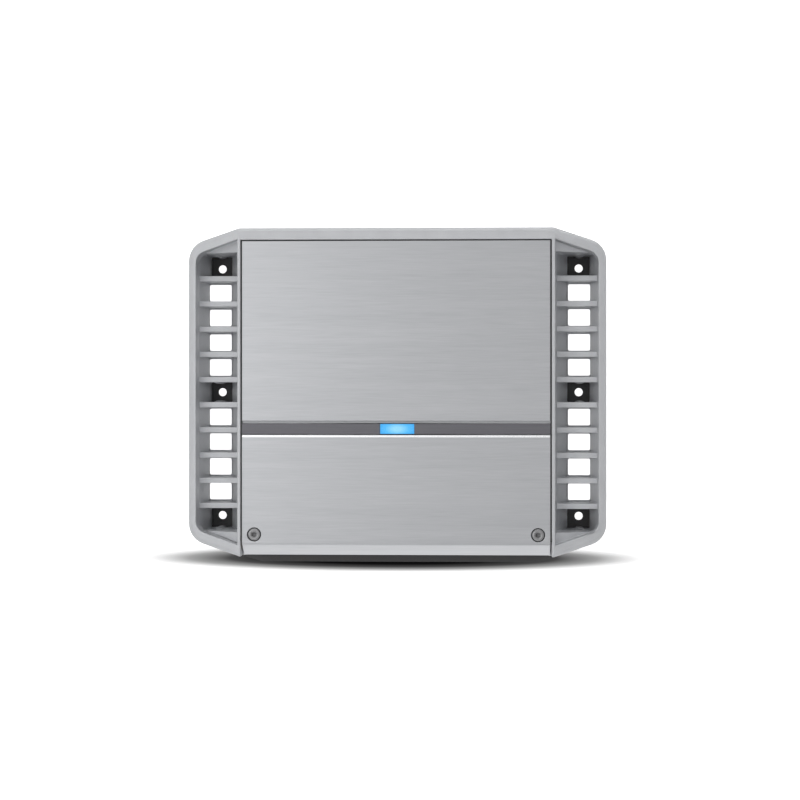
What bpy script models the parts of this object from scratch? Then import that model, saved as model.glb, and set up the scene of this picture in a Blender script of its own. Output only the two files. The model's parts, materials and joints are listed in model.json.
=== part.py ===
"""Two-channel car amplifier in a cast aluminium heatsink, lying flat on its bottom plate.

Every length below is in millimetres, and MM turns it into Blender's metres where a mesh is made. The
origin is the centre of the mounting-hole pattern, on the underside of the bottom plate. +Z points up,
the connection end faces -Y, and +X is on the right when looking along +Y. Pieces that touch keep
a gap of GAP between their faces.
"""

import math

import bmesh
import bpy
from mathutils import Matrix, Vector

MM = 0.001
GAP = 0.3

# The casting: outer shape
SIDE_X = 134.2  # outer face of each side rail
END_Y = 104.6  # rear face, and the front ends of the two walls
CREASE_X = 100.4  # where the flat top meets the sloping wings
CORNER_Y = 94.4  # where a corner run would meet the side face
CORNER_R = 13.5
TOP_Z = 58.0
RAIL_Z = 47.0  # height of the wing's slope at the side face
EDGE_ROUND = 3.0
PLATE_T = 2.0  # bottom plate
CHASSIS_Z = PLATE_T + GAP

# The casting: wings
RAIL_IN_X = 128.9
TROUGH_IN_X = 101.0
TROUGH_END_Y = 97.2  # inner edge of the corner run, at TROUGH_IN_X
TROUGH_CORNER_Y = 88.3  # the same edge, at the rail
TROUGH_R = 7.5
GUSSET_Z = (50.0, 36.0)  # the webs in the corners, at TROUGH_IN_X and at RAIL_IN_X
RIB_Z = 34.0
RIB_PITCH = 16.36
RIB_T = 3.5
CELL_IN_X = 103.0  # inside the body
CELL_OUT_X = 125.5  # the cells' outer wall slants from here up to the rail, at RIB_Z
WEB_Z = (10.4, 12.6)  # the thin web around the windows
WINDOW_X = (111.0, 125.5)
WINDOW_Y = 10.9
RELIEF_X = (109.0, 128.2)  # below the web the openings are larger
RELIEF_Y = 12.4
WINDOW_R = 1.0
WINDOWS_EACH_WAY = 4
END_CELL_Y = 89.6
HOLE_X = 118.5
HOLE_Y = 82.0
HOLE_R = 2.7
PAD_R = 5.7  # half-round pads stand out from the walls beside each mounting hole
PAD_OUT = 0.9
PAD_Z = 21.0

# The casting: body. Its sides lean out below the ribs' tops, and then go straight down, as (x, z).
BODY_SIDE = ((100.8, 57.5), (102.5, RIB_Z), (110.5, 12.0), (110.5, 3.0))
DRAFT_END_Y = 96.4
CAVITY_X = 97.0
SILL_X = 93.5  # inner end of the small ledges that carry the control deck
CAVITY_REAR_Y = 97.0
ROOF_Z = (52.5, 55.3)
ROOF_FRONT_Y = -31.0
POCKET_X = 98.9
POCKET_REAR_Y = 96.9
LIP_NOTCH_Y = -95.1  # the walls step back here, to clear the cover's lip
LIP_NOTCH_Z = 44.8

# Top face
SHEET_X = 98.0
TOP_PLATE_Y = (-18.3, 96.1)
TOP_PLATE_Z = (ROOF_Z[1] + GAP, 57.7)
STRIP_Y = (-26.8, -19.9)
STRIP_Z = (ROOF_Z[1] + GAP, 57.2)
LENS_MIDDLE_X = 0.9
LENS_X = 10.7  # half of its length
LENS_Y = 3.1  # half of its width across the strip
LENS_Z = (ROOF_Z[1] + GAP, 57.5)

# Front cover: a folded sheet, drawn from the side as (y, z)
COVER_REAR_Y = -27.2
COVER_Z = (55.6, 57.8)
COVER_CREASE_Y = -97.0
COVER_LIP = (-104.5, 46.2)
COVER_LIP_T = 1.9
COVER_SCREW = (90.2, -90.5)
COVER_BOSS_R = 6.4
COVER_BOSS_Z = 53.2
COUNTERBORE_R = 4.4
COUNTERBORE_Z = 55.0
HEAD_R = 4.0
HEAD_TOP_Z = 58.4
SHANK_R = 2.0
POST_X = (85.4, 98.5)
POST_Y = (-94.8, -85.6)
POST_Z = (38.0, 52.9)

# Bottom plate: the front tongue reaches past the casting
TONGUE = ((103.0, -102.8), (103.0, -109.5), (91.6, -112.7))
STANDOFFS = ((-84.0, 82.0), (84.0, 82.0), (-84.0, -72.0), (84.0, -72.0), (0.0, 12.0))
BOTTOM_SCREW_X = 102.6
BOTTOM_SCREW_Y = (-84.0, 0.0, 84.0)

# Inside
BOARD_Z = (9.0, 10.6)
BOARD_X = 94.5
BOARD_Y = (-92.0, 94.0)
ON_BOARD = BOARD_Z[1] + GAP
PANEL_Y = (-97.0, -95.2)
PANEL_Z = (CHASSIS_Z + GAP, 44.5)
DECK_Z = (46.0, 47.8)
DECK_Y = (-68.0, -33.0)
CONTROL_BOARD_Z = (36.0, 37.6)
CONTROL_Y = -50.0
KNOBS = {"gain": -58.0, "crossover": -26.0, "bass": 6.0}  # each knob's x
SWITCH_X = 46.0
SWITCH_TRAVEL = 4.0

# Connection end: each block's pieces along X
POWER_PORTS = (14.0, 27.0, 40.0)
SPEAKER_PORTS = (55.2, 63.7, 72.2, 80.7)
RCA_X = (-77.0, -59.0)
RCA_Z = (18.5, 33.5)
FUSE_X = (-16.0, -4.0)
FUSE_Z = 25.0
BLOCK_Z = (ON_BOARD, 31.0)
BLOCK_Y = (-101.5, -82.0)
POWER_BLOCK_X = (7.0, 47.0)
SPEAKER_BLOCK_X = (50.2, 85.2)
SET_SCREW_Y = -92.0
HOLDER_X = (-23.0, 3.0)
HOLDER_Y = (-99.0, -78.0)
HOLDER_Z = (ON_BOARD, 37.0)
SOCKET_X = (-48.0, -29.0)
SOCKET_Y = (-99.0, -84.0)
SOCKET_Z = (ON_BOARD, 24.0)

# Inside: power supply and output stage
RING_R = 18.0
RING_TUBE_R = 9.0
RING_Y = 48.0
CHOKE_AT = (-40.0, 4.0)
CAPACITORS = ((-64.0, 74.0), (-42.0, 74.0), (42.0, 74.0), (64.0, 74.0))
TRANSISTOR_Y = (16.0, 44.0)
CLAMP_Y = (0.0, 60.0)
CLAMP_Z = (17.0, 25.0)

FINISHES = {  # colour, metallic, roughness
    "cast_aluminium": ((0.43, 0.43, 0.44), 0.9, 0.45),
    "brushed_aluminium": ((0.60, 0.61, 0.63), 1.0, 0.33),
    "dark_strip": ((0.12, 0.12, 0.13), 0.6, 0.4),
    "lens": ((0.12, 0.60, 0.95), 0.0, 0.2),
    "black_steel": ((0.03, 0.03, 0.032), 0.5, 0.5),
    "black_plastic": ((0.02, 0.02, 0.02), 0.0, 0.5),
    "screw_steel": ((0.45, 0.45, 0.46), 1.0, 0.35),
    "black_screw": ((0.05, 0.05, 0.05), 0.9, 0.4),
    "circuit_board": ((0.02, 0.16, 0.06), 0.0, 0.45),
    "gold": ((0.83, 0.61, 0.25), 1.0, 0.25),
    "nickel": ((0.62, 0.60, 0.56), 1.0, 0.3),
    "capacitor_sleeve": ((0.02, 0.03, 0.07), 0.0, 0.4),
    "copper": ((0.62, 0.28, 0.12), 0.9, 0.35),
    "blade_fuse": ((0.75, 0.09, 0.07), 0.0, 0.3),
}


# Scene and mesh helpers


def clear_scene():
    for obj in list(bpy.data.objects):
        bpy.data.objects.remove(obj, do_unlink=True)


def new_collection(name):
    made = bpy.data.collections.new(name)
    bpy.context.scene.collection.children.link(made)
    return made


def finish(name):
    """The material of this name, made the first time it is asked for."""
    found = bpy.data.materials.get(name)
    if found:
        return found
    colour, metallic, roughness = FINISHES[name]
    made = bpy.data.materials.new(name)
    made.use_nodes = True
    shader = made.node_tree.nodes["Principled BSDF"]
    shader.inputs["Base Color"].default_value = (*colour, 1.0)
    shader.inputs["Metallic"].default_value = metallic
    shader.inputs["Roughness"].default_value = roughness
    return made


def add_box(bm, x, y, z):
    """A box between the low and high values of each axis."""
    low, high = (Vector(ends) for ends in zip(x, y, z))
    bmesh.ops.create_cube(bm, size=1, matrix=Matrix.LocRotScale((low + high) / 2, None, high - low))


AXIS_TURN = {
    "X": Matrix.Rotation(math.radians(90), 4, "Y"),
    "Y": Matrix.Rotation(math.radians(-90), 4, "X"),
    "Z": Matrix.Identity(4),
}


# These turn an outline drawn as (y, z), or as (x, z), with its thickness along the third axis.
ACROSS_X = Matrix(((0, 0, 1, 0), (1, 0, 0, 0), (0, 1, 0, 0), (0, 0, 0, 1)))
ACROSS_Y = Matrix(((1, 0, 0, 0), (0, 0, -1, 0), (0, 1, 0, 0), (0, 0, 0, 1)))


def add_cylinder(bm, radius, start, length, axis="Z", segments=24, end_radius=None):
    """A cylinder, or a cone, from the centre of its first cap along an axis."""
    turn = AXIS_TURN[axis]
    middle = Matrix.Translation(Vector(start)) @ turn @ Matrix.Translation((0, 0, length / 2))
    bmesh.ops.create_cone(
        bm,
        cap_ends=True,
        segments=segments,
        radius1=radius,
        radius2=radius if end_radius is None else end_radius,
        depth=length,
        matrix=middle,
    )


def add_object(name, bm, slot, origin=(0, 0, 0)):
    """Turns a bmesh in millimetres into a piece of the amplifier, with its origin at a point."""
    bmesh.ops.translate(bm, verts=bm.verts, vec=-Vector(origin))
    bmesh.ops.scale(bm, verts=bm.verts, vec=(MM, MM, MM))
    mesh = bpy.data.meshes.new(name)
    bm.to_mesh(mesh)
    bm.free()
    mesh.materials.append(finish(slot))
    obj = bpy.data.objects.new(name, mesh)
    obj.location = Vector(origin) * MM
    amplifier.objects.link(obj)
    return obj


def box_object(name, x, y, z, slot, origin=(0, 0, 0)):
    bm = bmesh.new()
    add_box(bm, x, y, z)
    return add_object(name, bm, slot, origin)


def smooth(obj, angle=35):
    obj.data.shade_smooth()
    obj.data.set_sharp_from_angle(angle=math.radians(angle))


def both_sides(pair):
    """A (low, high) pair and its mirror image across X = 0."""
    return pair, (-pair[1], -pair[0])


def four_fold(quadrant):
    """A closed outline from its corners in the +X +Y quadrant, each a tuple that starts with x, y."""
    mirror_x = [(-p[0], *p[1:]) for p in reversed(quadrant)]
    half = [*quadrant, *mirror_x]
    return half + [(p[0], -p[1], *p[2:]) for p in reversed(half)]


def rounded(corners, steps=6):
    """The points of a closed outline whose corners are (x, y) or, with a fillet, (x, y, radius)."""
    points = []
    for i, corner in enumerate(corners):
        here = Vector(corner[:2])
        radius = corner[2] if len(corner) > 2 else 0
        if not radius:
            points.append(here)
            continue
        back = (Vector(corners[i - 1][:2]) - here).normalized()
        ahead = (Vector(corners[(i + 1) % len(corners)][:2]) - here).normalized()
        half_angle = back.angle(ahead) / 2
        centre = here + (back + ahead).normalized() * radius / math.sin(half_angle)
        start = here + back * radius / math.tan(half_angle) - centre
        turn = back.angle_signed(ahead)
        sweep = math.copysign(math.pi - abs(turn), turn)
        for step in range(steps + 1):
            points.append(centre + Matrix.Rotation(sweep * step / steps, 2) @ start)
    return points


def outline_object(name, points, z, slot, turn=None):
    """A flat outline with a thickness, from z[0] to z[1], and then turned by a matrix."""
    curve = bpy.data.curves.new(name, "CURVE")
    curve.dimensions = "2D"
    curve.fill_mode = "BOTH"
    curve.extrude = (z[1] - z[0]) / 2
    spline = curve.splines.new("POLY")
    spline.points.add(len(points) - 1)
    for point, (x, y) in zip(spline.points, points):
        point.co = (x, y, 0, 1)
    spline.use_cyclic_u = True
    flat = bpy.data.objects.new(name + "_outline", curve)
    bpy.context.scene.collection.objects.link(flat)
    flat.location.z = (z[0] + z[1]) / 2
    bpy.context.view_layer.update()
    mesh = bpy.data.meshes.new_from_object(flat.evaluated_get(bpy.context.evaluated_depsgraph_get()))
    bm = bmesh.new()
    bm.from_mesh(mesh)
    bm.transform(flat.matrix_world)
    bmesh.ops.remove_doubles(bm, verts=bm.verts, dist=0.001)
    bmesh.ops.dissolve_limit(bm, angle_limit=math.radians(0.5), verts=bm.verts, edges=bm.edges)
    bmesh.ops.recalc_face_normals(bm, faces=bm.faces)
    if turn:
        bm.transform(turn)
    bpy.data.objects.remove(flat)
    bpy.data.meshes.remove(mesh)
    bpy.data.curves.remove(curve)
    return add_object(name, bm, slot)


def turned(name, profile, slot, at, steps=20, axis="Z"):
    """A turned piece: its profile is (radius, height) points down its outer side, top first."""
    mesh = bpy.data.meshes.new(name)
    points = [(r * MM, 0, z * MM) for r, z in profile]
    mesh.from_pydata(points, [(i, i + 1) for i in range(len(points) - 1)], [])
    mesh.materials.append(finish(slot))
    obj = bpy.data.objects.new(name, mesh)
    obj.location = Vector(at) * MM
    obj.rotation_euler = AXIS_TURN[axis].to_euler()
    amplifier.objects.link(obj)
    screw = obj.modifiers.new("Turn", "SCREW")
    screw.steps = steps
    screw.render_steps = steps
    screw.use_merge_vertices = True
    screw.merge_threshold = 1e-6
    screw.use_smooth_shade = True
    return obj


def boolean(target, tool, operation="DIFFERENCE"):
    """Cuts one mesh from another, or joins it on; the tool stays hidden among the cutters."""
    modifier = target.modifiers.new(tool.name, "BOOLEAN")
    modifier.operation = operation
    modifier.solver = "EXACT"
    modifier.object = tool
    tool.hide_render = True
    tool.display_type = "WIRE"
    for owner in list(tool.users_collection):
        owner.objects.unlink(tool)
    cutters.objects.link(tool)
    bpy.context.view_layer.update()


def cut_boxes(target, name, boxes, operation="DIFFERENCE"):
    """Cuts a set of separate boxes, each (x, y, z) pairs, from a piece, or joins them to it."""
    bm = bmesh.new()
    for box in boxes:
        add_box(bm, *box)
    boolean(target, add_object(name, bm, "black_plastic"), operation)


def cut_cylinders(target, name, cylinders, operation="DIFFERENCE"):
    """The same for cylinders, each a dict of add_cylinder's own words."""
    bm = bmesh.new()
    for cylinder in cylinders:
        add_cylinder(bm, **cylinder)
    boolean(target, add_object(name, bm, "black_plastic"), operation)


# The casting


def clipped(obj, point, normal):
    """Cuts away what lies past a plane, and closes the cut."""
    bm = bmesh.new()
    bm.from_mesh(obj.data)
    everything = [*bm.verts, *bm.edges, *bm.faces]
    place = Vector(point) * MM
    bmesh.ops.bisect_plane(bm, geom=everything, plane_co=place, plane_no=normal, clear_outer=True)
    bmesh.ops.edgeloop_fill(bm, edges=[edge for edge in bm.edges if edge.is_boundary])
    bmesh.ops.remove_doubles(bm, verts=bm.verts, dist=0.01 * MM)
    bmesh.ops.dissolve_limit(bm, angle_limit=math.radians(0.5), verts=bm.verts, edges=bm.edges)
    bmesh.ops.recalc_face_normals(bm, faces=bm.faces)
    bm.to_mesh(obj.data)
    bm.free()
    return obj


def round_rim(slab):
    """Rounds the slab's upper edge, all but the front ends of its two walls."""
    bm = bmesh.new()
    bm.from_mesh(slab.data)
    rim = []
    for edge in bm.edges:
        tilts = sorted(abs(face.normal.z) for face in edge.link_faces)
        high = min(v.co.z for v in edge.verts) > WEB_Z[1] * MM
        at_front = max(v.co.y for v in edge.verts) < (0.5 - END_Y) * MM
        if high and not at_front and tilts[0] < 0.1 and tilts[1] > 0.5:
            rim.append(edge)
    bmesh.ops.bevel(bm, geom=rim, offset=EDGE_ROUND * MM, segments=3, profile=0.5, affect="EDGES")
    bmesh.ops.remove_doubles(bm, verts=bm.verts, dist=0.01 * MM)
    bm.to_mesh(slab.data)
    bm.free()


def wing_slab():
    """The casting's outer block, with its wings sloping down from the creases and its rim rounded."""
    outline = rounded(four_fold([(SIDE_X, CORNER_Y, CORNER_R), (CREASE_X, END_Y)]))
    slab = outline_object("heatsink_chassis", outline, (CHASSIS_Z, TOP_Z), "cast_aluminium")
    for side in (1, -1):
        normal = ((TOP_Z - RAIL_Z) * side, 0, SIDE_X - CREASE_X)
        clipped(slab, (CREASE_X * side, 0, TOP_Z), normal)
    round_rim(slab)
    return slab


def trough(side, name, low_z):
    """A cutter: the long hollow between a rail and the body, from low_z up."""
    corners = [
        (side * TROUGH_IN_X, -TROUGH_END_Y),
        (side * RAIL_IN_X, -TROUGH_CORNER_Y, TROUGH_R),
        (side * RAIL_IN_X, TROUGH_CORNER_Y, TROUGH_R),
        (side * TROUGH_IN_X, TROUGH_END_Y),
    ]
    points = rounded(corners if side > 0 else corners[::-1])
    return outline_object(name, points, (low_z, TOP_Z + 5), "cast_aluminium")


def cut_troughs(chassis):
    """Each wing's hollow: down to the ribs in the middle, and to a sloping web in each corner."""
    for side, word in ((1, "right"), (-1, "left")):
        long = trough(side, "trough_" + word, RIB_Z)
        for end in (1, -1):
            clipped(long, (0, end * END_CELL_Y, 0), (0, end, 0))
        boolean(chassis, long)
        slope = Vector((side * (RAIL_IN_X - TROUGH_IN_X), 0, GUSSET_Z[1] - GUSSET_Z[0]))
        down = slope.cross(Vector((0, -side, 0)))
        corners = trough(side, "corners_" + word, RIB_Z)
        clipped(corners, (side * TROUGH_IN_X, 0, GUSSET_Z[0]), down if down.z < 0 else -down)
        boolean(chassis, corners)


def cut_cells(chassis):
    """The cells between the ribs. Those of the mounting holes are open to the bottom plate."""
    cell_half = (RIB_PITCH - RIB_T) / 2
    last_rib = (WINDOWS_EACH_WAY + 0.5) * RIB_PITCH + RIB_T / 2
    windows = []
    for side, word in ((1, "right"), (-1, "left")):
        section = [
            (side * CELL_IN_X, WEB_Z[1]),
            (side * CELL_OUT_X, WEB_Z[1]),
            (side * RAIL_IN_X, RIB_Z),
            (side * RAIL_IN_X, RIB_Z + 1),
            (side * CELL_IN_X, RIB_Z + 1),
        ]
        section = section if side > 0 else section[::-1]
        cells = outline_object(
            "cells_" + word, section, (-END_CELL_Y, END_CELL_Y), "cast_aluminium", ACROSS_Y
        )
        across = sorted((side * (CELL_IN_X - 1), side * (RAIL_IN_X + 1)))
        ribs = []
        for k in range(-WINDOWS_EACH_WAY - 1, WINDOWS_EACH_WAY + 1):
            y = (k + 0.5) * RIB_PITCH
            ribs.append((across, (y - RIB_T / 2, y + RIB_T / 2), (0, RIB_Z + 5)))
        cut_boxes(cells, "ribs_" + word, ribs)
        wells = []
        x = sorted((side * (CELL_IN_X + 0.5), side * CELL_OUT_X))
        for y in ((-cell_half, cell_half), *both_sides((last_rib, END_CELL_Y))):
            wells.append((x, y, (0, WEB_Z[1] + 1)))
        cut_boxes(cells, "wells_" + word, wells, operation="UNION")
        walls = ((cell_half, 1), (-cell_half, -1), (END_CELL_Y, 1), (-END_CELL_Y, -1))
        for number, (wall, outward) in enumerate(walls, 1):
            boolean(cells, pad(f"pad_{word}_{number}", side * HOLE_X, wall, outward))
        boolean(chassis, cells)
        for k in range(1, WINDOWS_EACH_WAY + 1):
            windows += [(side, k * RIB_PITCH), (side, -k * RIB_PITCH)]
    cut_windows(chassis, "windows", windows, WINDOW_X, WINDOW_Y, (0, WEB_Z[1] + 1))
    cut_windows(chassis, "reliefs", windows, RELIEF_X, RELIEF_Y, (0, WEB_Z[0]))


def pad(name, x, wall, outward):
    """A shallow half-round pad that stands out from a wall, beside a mounting hole."""
    reach = math.acos(1 - PAD_OUT / PAD_R)
    points = [(x + 2, wall + outward), (x - 2, wall + outward)]
    for step in range(-4, 5):
        angle = reach * step / 4
        rise = PAD_R * math.cos(angle) - PAD_R + PAD_OUT
        points.append((x + PAD_R * math.sin(angle), wall - outward * rise))
    points = points if outward > 0 else points[::-1]
    return outline_object(name, points, (-1, PAD_Z), "cast_aluminium")


def cut_windows(target, name, places, reach, length, z):
    """Cuts rounded openings that run from reach[0] to reach[1] across the wing, at each (side, y)."""
    bm = bmesh.new()
    for side, y in places:
        x = sorted((side * reach[0], side * reach[1]))
        add_box(bm, x, (y - length / 2, y + length / 2), z)
    upright = [edge for edge in bm.edges if abs(edge.verts[0].co.z - edge.verts[1].co.z) > 1]
    bmesh.ops.bevel(bm, geom=upright, offset=WINDOW_R, segments=3, profile=0.5, affect="EDGES")
    boolean(target, add_object(name, bm, "black_plastic"))


def drafted_body():
    """The body's side walls, which lean out to the foot as a casting's do."""
    points = [*BODY_SIDE, *[(-x, z) for x, z in reversed(BODY_SIDE)]]
    y = (-DRAFT_END_Y, DRAFT_END_Y)
    return outline_object("drafted_body", points[::-1], y, "cast_aluminium", ACROSS_Y)


def cavity():
    """The room for the boards, with a step up through the roof at the connection end, as (y, z)."""
    past = END_Y + 5
    points = [
        (-past, 0),
        (CAVITY_REAR_Y, 0),
        (CAVITY_REAR_Y, ROOF_Z[0]),
        (ROOF_FRONT_Y, ROOF_Z[0]),
        (ROOF_FRONT_Y, TOP_Z + 5),
        (-past, TOP_Z + 5),
    ]
    return outline_object("cavity", points, (-CAVITY_X, CAVITY_X), "cast_aluminium", ACROSS_X)


def make_chassis():
    chassis = wing_slab()
    cut_troughs(chassis)
    cut_cells(chassis)
    boolean(chassis, drafted_body(), "UNION")
    boolean(chassis, cavity())
    pocket = ((-POCKET_X, POCKET_X), (-END_Y - 5, POCKET_REAR_Y), (ROOF_Z[1], TOP_Z + 5))
    cut_boxes(chassis, "plate_pocket", [pocket])
    notch = (pocket[0], (-END_Y - 5, LIP_NOTCH_Y), (LIP_NOTCH_Z, TOP_Z + 5))
    cut_boxes(chassis, "lip_notch", [notch])
    lugs = [(x, POST_Y, POST_Z) for x in both_sides(POST_X)]
    for x in both_sides((SILL_X, CAVITY_X + 1.5)):
        lugs.append((x, (-62, -40), (41.5, DECK_Z[0] - GAP)))
    cut_boxes(chassis, "lugs", lugs, operation="UNION")
    bores = []
    for side in (1, -1):
        x = side * COVER_SCREW[0]
        start = (x, COVER_SCREW[1], POST_Z[0] + 3)
        bores.append({"radius": SHANK_R + 0.3, "start": start, "length": 20, "segments": 16})
        for y in BOTTOM_SCREW_Y:
            start = (side * BOTTOM_SCREW_X, y, 0)
            bores.append({"radius": 1.8, "start": start, "length": 14, "segments": 16})
    cut_cylinders(chassis, "screw_bores", bores)
    slot_x = (LENS_MIDDLE_X - 9, LENS_MIDDLE_X + 9)
    cut_boxes(chassis, "light_slot", [(slot_x, (-25.4, -20.8), (50, 60))])


# Top face


def make_top_face():
    box_object("top_plate", (-SHEET_X, SHEET_X), TOP_PLATE_Y, TOP_PLATE_Z, "brushed_aluminium")
    strip = box_object("accent_strip", (-SHEET_X, SHEET_X), STRIP_Y, STRIP_Z, "dark_strip")
    middle = sum(STRIP_Y) / 2
    hole_x = (LENS_MIDDLE_X - LENS_X - GAP, LENS_MIDDLE_X + LENS_X + GAP)
    hole_y = (middle - LENS_Y - GAP, middle + LENS_Y + GAP)
    cut_boxes(strip, "lens_hole", [(hole_x, hole_y, (50, 60))])
    lens_x = (LENS_MIDDLE_X - LENS_X, LENS_MIDDLE_X + LENS_X)
    box_object("status_lens", lens_x, (middle - LENS_Y, middle + LENS_Y), LENS_Z, "lens")
    led_board = box_object(
        "led_board", (LENS_MIDDLE_X - 16, LENS_MIDDLE_X + 16), (-30, -16), (50.2, 51.6), "circuit_board"
    )
    lights = []
    for x in (LENS_MIDDLE_X - 6, LENS_MIDDLE_X, LENS_MIDDLE_X + 6):
        lights.append(((x - 1.5, x + 1.5), (middle - 1.2, middle + 1.2), (51, 53.2)))
    cut_boxes(led_board, "lights", lights, operation="UNION")


def make_cover():
    """The lift-off cover: a flat sheet, its front edge folded down, with two countersunk bosses."""
    lip_y, lip_z = COVER_LIP
    slant = Vector((lip_y - COVER_CREASE_Y, lip_z - COVER_Z[1])).normalized()
    inward = Vector((-slant.y, slant.x)) * -COVER_LIP_T
    inner = Vector(COVER_LIP) - inward
    reach = (COVER_Z[0] - inner.y) / slant.y
    fold = inner + slant * reach
    points = [
        (COVER_REAR_Y, COVER_Z[1]),
        (COVER_CREASE_Y, COVER_Z[1], 1.6),
        (lip_y, lip_z, 0.6),
        tuple(inner),
        tuple(fold),
        (COVER_REAR_Y, COVER_Z[0]),
    ]
    outline = rounded(points, steps=3)
    cover = outline_object(
        "front_cover", outline, (-SHEET_X, SHEET_X), "brushed_aluminium", ACROSS_X
    )
    bosses, bores, holes = [], [], []
    for side in (1, -1):
        x, y = side * COVER_SCREW[0], COVER_SCREW[1]
        boss = {"radius": COVER_BOSS_R, "start": (x, y, COVER_BOSS_Z)}
        bosses.append({**boss, "length": COVER_Z[1] - COVER_BOSS_Z - 1})
        bores.append({"radius": COUNTERBORE_R, "start": (x, y, COUNTERBORE_Z), "length": 5})
        holes.append({"radius": SHANK_R + 0.4, "start": (x, y, 50), "length": 8, "segments": 16})
    cut_cylinders(cover, "cover_bosses", bosses, operation="UNION")
    cut_cylinders(cover, "cover_counterbores", bores)
    cut_cylinders(cover, "cover_holes", holes)
    for side, word in ((-1, "left"), (1, "right")):
        make_cover_screw("cover_screw_" + word, side * COVER_SCREW[0], COVER_SCREW[1])


def add_socket(screw, centre, across, z):
    """A hexagon socket in a screw, between two heights."""
    bm = bmesh.new()
    add_cylinder(bm, across / math.sqrt(3), (*centre, z[0]), z[1] - z[0], segments=6)
    boolean(screw, add_object(screw.name + "_socket", bm, "screw_steel"))


def make_cover_screw(name, x, y):
    base = COUNTERBORE_Z + GAP
    profile = [
        (0, HEAD_TOP_Z - base),
        (HEAD_R * 0.62, HEAD_TOP_Z - base - 0.15),
        (HEAD_R * 0.9, HEAD_TOP_Z - base - 0.75),
        (HEAD_R, HEAD_TOP_Z - base - 1.5),
        (HEAD_R, 0),
        (SHANK_R, 0),
        (SHANK_R, 42 - base),
        (0, 42 - base),
    ]
    screw = turned(name, profile, "screw_steel", (x, y, base))
    add_socket(screw, (x, y), 3.2, (HEAD_TOP_Z - 1.7, HEAD_TOP_Z + 1))


# Underside


def make_bottom_plate():
    inset = 0.6
    rear = [(SIDE_X - inset, CORNER_Y - inset / 2, CORNER_R), (CREASE_X, END_Y - inset)]
    rear_half = rear + [(-p[0], *p[1:]) for p in reversed(rear)]
    front = [(SIDE_X - inset, inset / 2 - CORNER_Y, CORNER_R), *TONGUE]
    front_half = [(-p[0], *p[1:]) for p in front] + front[::-1]
    outline = rounded([*rear_half, *front_half])
    plate = outline_object("bottom_plate", outline, (0, PLATE_T), "black_steel")
    windows = []
    for side in (1, -1):
        for k in range(1, WINDOWS_EACH_WAY + 1):
            windows += [(side, k * RIB_PITCH), (side, -k * RIB_PITCH)]
    cut_windows(plate, "plate_windows", windows, RELIEF_X, RELIEF_Y, (-1, PLATE_T + 1))
    standoffs = []
    for x, y in STANDOFFS:
        length = BOARD_Z[0] - GAP - PLATE_T / 2
        standoffs.append({"radius": 3, "start": (x, y, PLATE_T / 2), "length": length, "segments": 12})
    cut_cylinders(plate, "standoffs", standoffs, operation="UNION")
    holes = []
    for side in (1, -1):
        for y in (-HOLE_Y, 0, HOLE_Y):
            start = (side * HOLE_X, y, -1)
            holes.append({"radius": HOLE_R, "start": start, "length": PLATE_T + 2})
        for y in BOTTOM_SCREW_Y:
            start = (side * BOTTOM_SCREW_X, y, -0.5)
            cone = {"radius": 4.1, "end_radius": 2, "segments": 16}
            holes.append({**cone, "start": start, "length": PLATE_T + 1})
    cut_cylinders(plate, "plate_holes", holes)
    number = 0
    for side in (-1, 1):
        for y in BOTTOM_SCREW_Y:
            number += 1
            name = f"bottom_screw_{number}"
            profile = [(0, 12), (1.2, 12), (1.2, 1.9), (3.1, 0.2), (0, 0.2)]
            x = side * BOTTOM_SCREW_X
            screw = turned(name, profile, "black_screw", (x, y, 0), steps=16)
            add_socket(screw, (x, y), 2.0, (-1, 1.4))


# Connection end


def make_panel():
    panel = box_object(
        "terminal_panel", (-CAVITY_X + GAP, CAVITY_X - GAP), PANEL_Y, PANEL_Z, "black_plastic"
    )
    through = (PANEL_Y[0] - 3, PANEL_Y[1] + 3)
    pieces = (
        (POWER_BLOCK_X, BLOCK_Z),
        (SPEAKER_BLOCK_X, BLOCK_Z),
        (HOLDER_X, HOLDER_Z),
        (SOCKET_X, SOCKET_Z),
    )
    openings = []
    for x, z in pieces:
        openings.append(((x[0] - GAP, x[1] + GAP), through, (z[0] - GAP, z[1] + GAP)))
    cut_boxes(panel, "panel_openings", openings)
    rounds = []
    for x in RCA_X:
        for z in RCA_Z:
            start = (x, through[0], z)
            rounds.append({"radius": 5.2, "start": start, "length": 9, "axis": "Y", "segments": 20})
    cut_cylinders(panel, "panel_jack_holes", rounds)


def make_terminal_block(word, block_x, ports, port_half, port_z, screw_r):
    """A clamp block: square wire ports from the front, each closed by a set screw from above."""
    block = box_object(word + "_terminal_block", block_x, BLOCK_Y, BLOCK_Z, "black_plastic")
    mouths, bores = [], []
    for x in ports:
        mouths.append(((x - port_half, x + port_half), (BLOCK_Y[0] - 1, -87.0), port_z))
        start = (x, SET_SCREW_Y, port_z[1] - 1)
        bores.append({"radius": screw_r + 0.35, "start": start, "length": 20, "segments": 16})
    cut_boxes(block, word + "_ports", mouths)
    cut_cylinders(block, word + "_screw_bores", bores)
    low, high = port_z[1] + GAP, BLOCK_Z[1] - 0.6
    for number, x in enumerate(ports, 1):
        bm = bmesh.new()
        add_cylinder(bm, screw_r, (x, SET_SCREW_Y, low), high - low, segments=16)
        screw = add_object(f"{word}_set_screw_{number}", bm, "nickel", (x, SET_SCREW_Y, low))
        add_socket(screw, (x, SET_SCREW_Y), screw_r * 0.95, (high - 2.5, high + 1))


def make_terminals():
    make_terminal_block("power", POWER_BLOCK_X, POWER_PORTS, 4.4, (13.6, 22.4), 2.8)
    make_terminal_block("speaker", SPEAKER_BLOCK_X, SPEAKER_PORTS, 2.9, (14.6, 20.6), 2.0)


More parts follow.
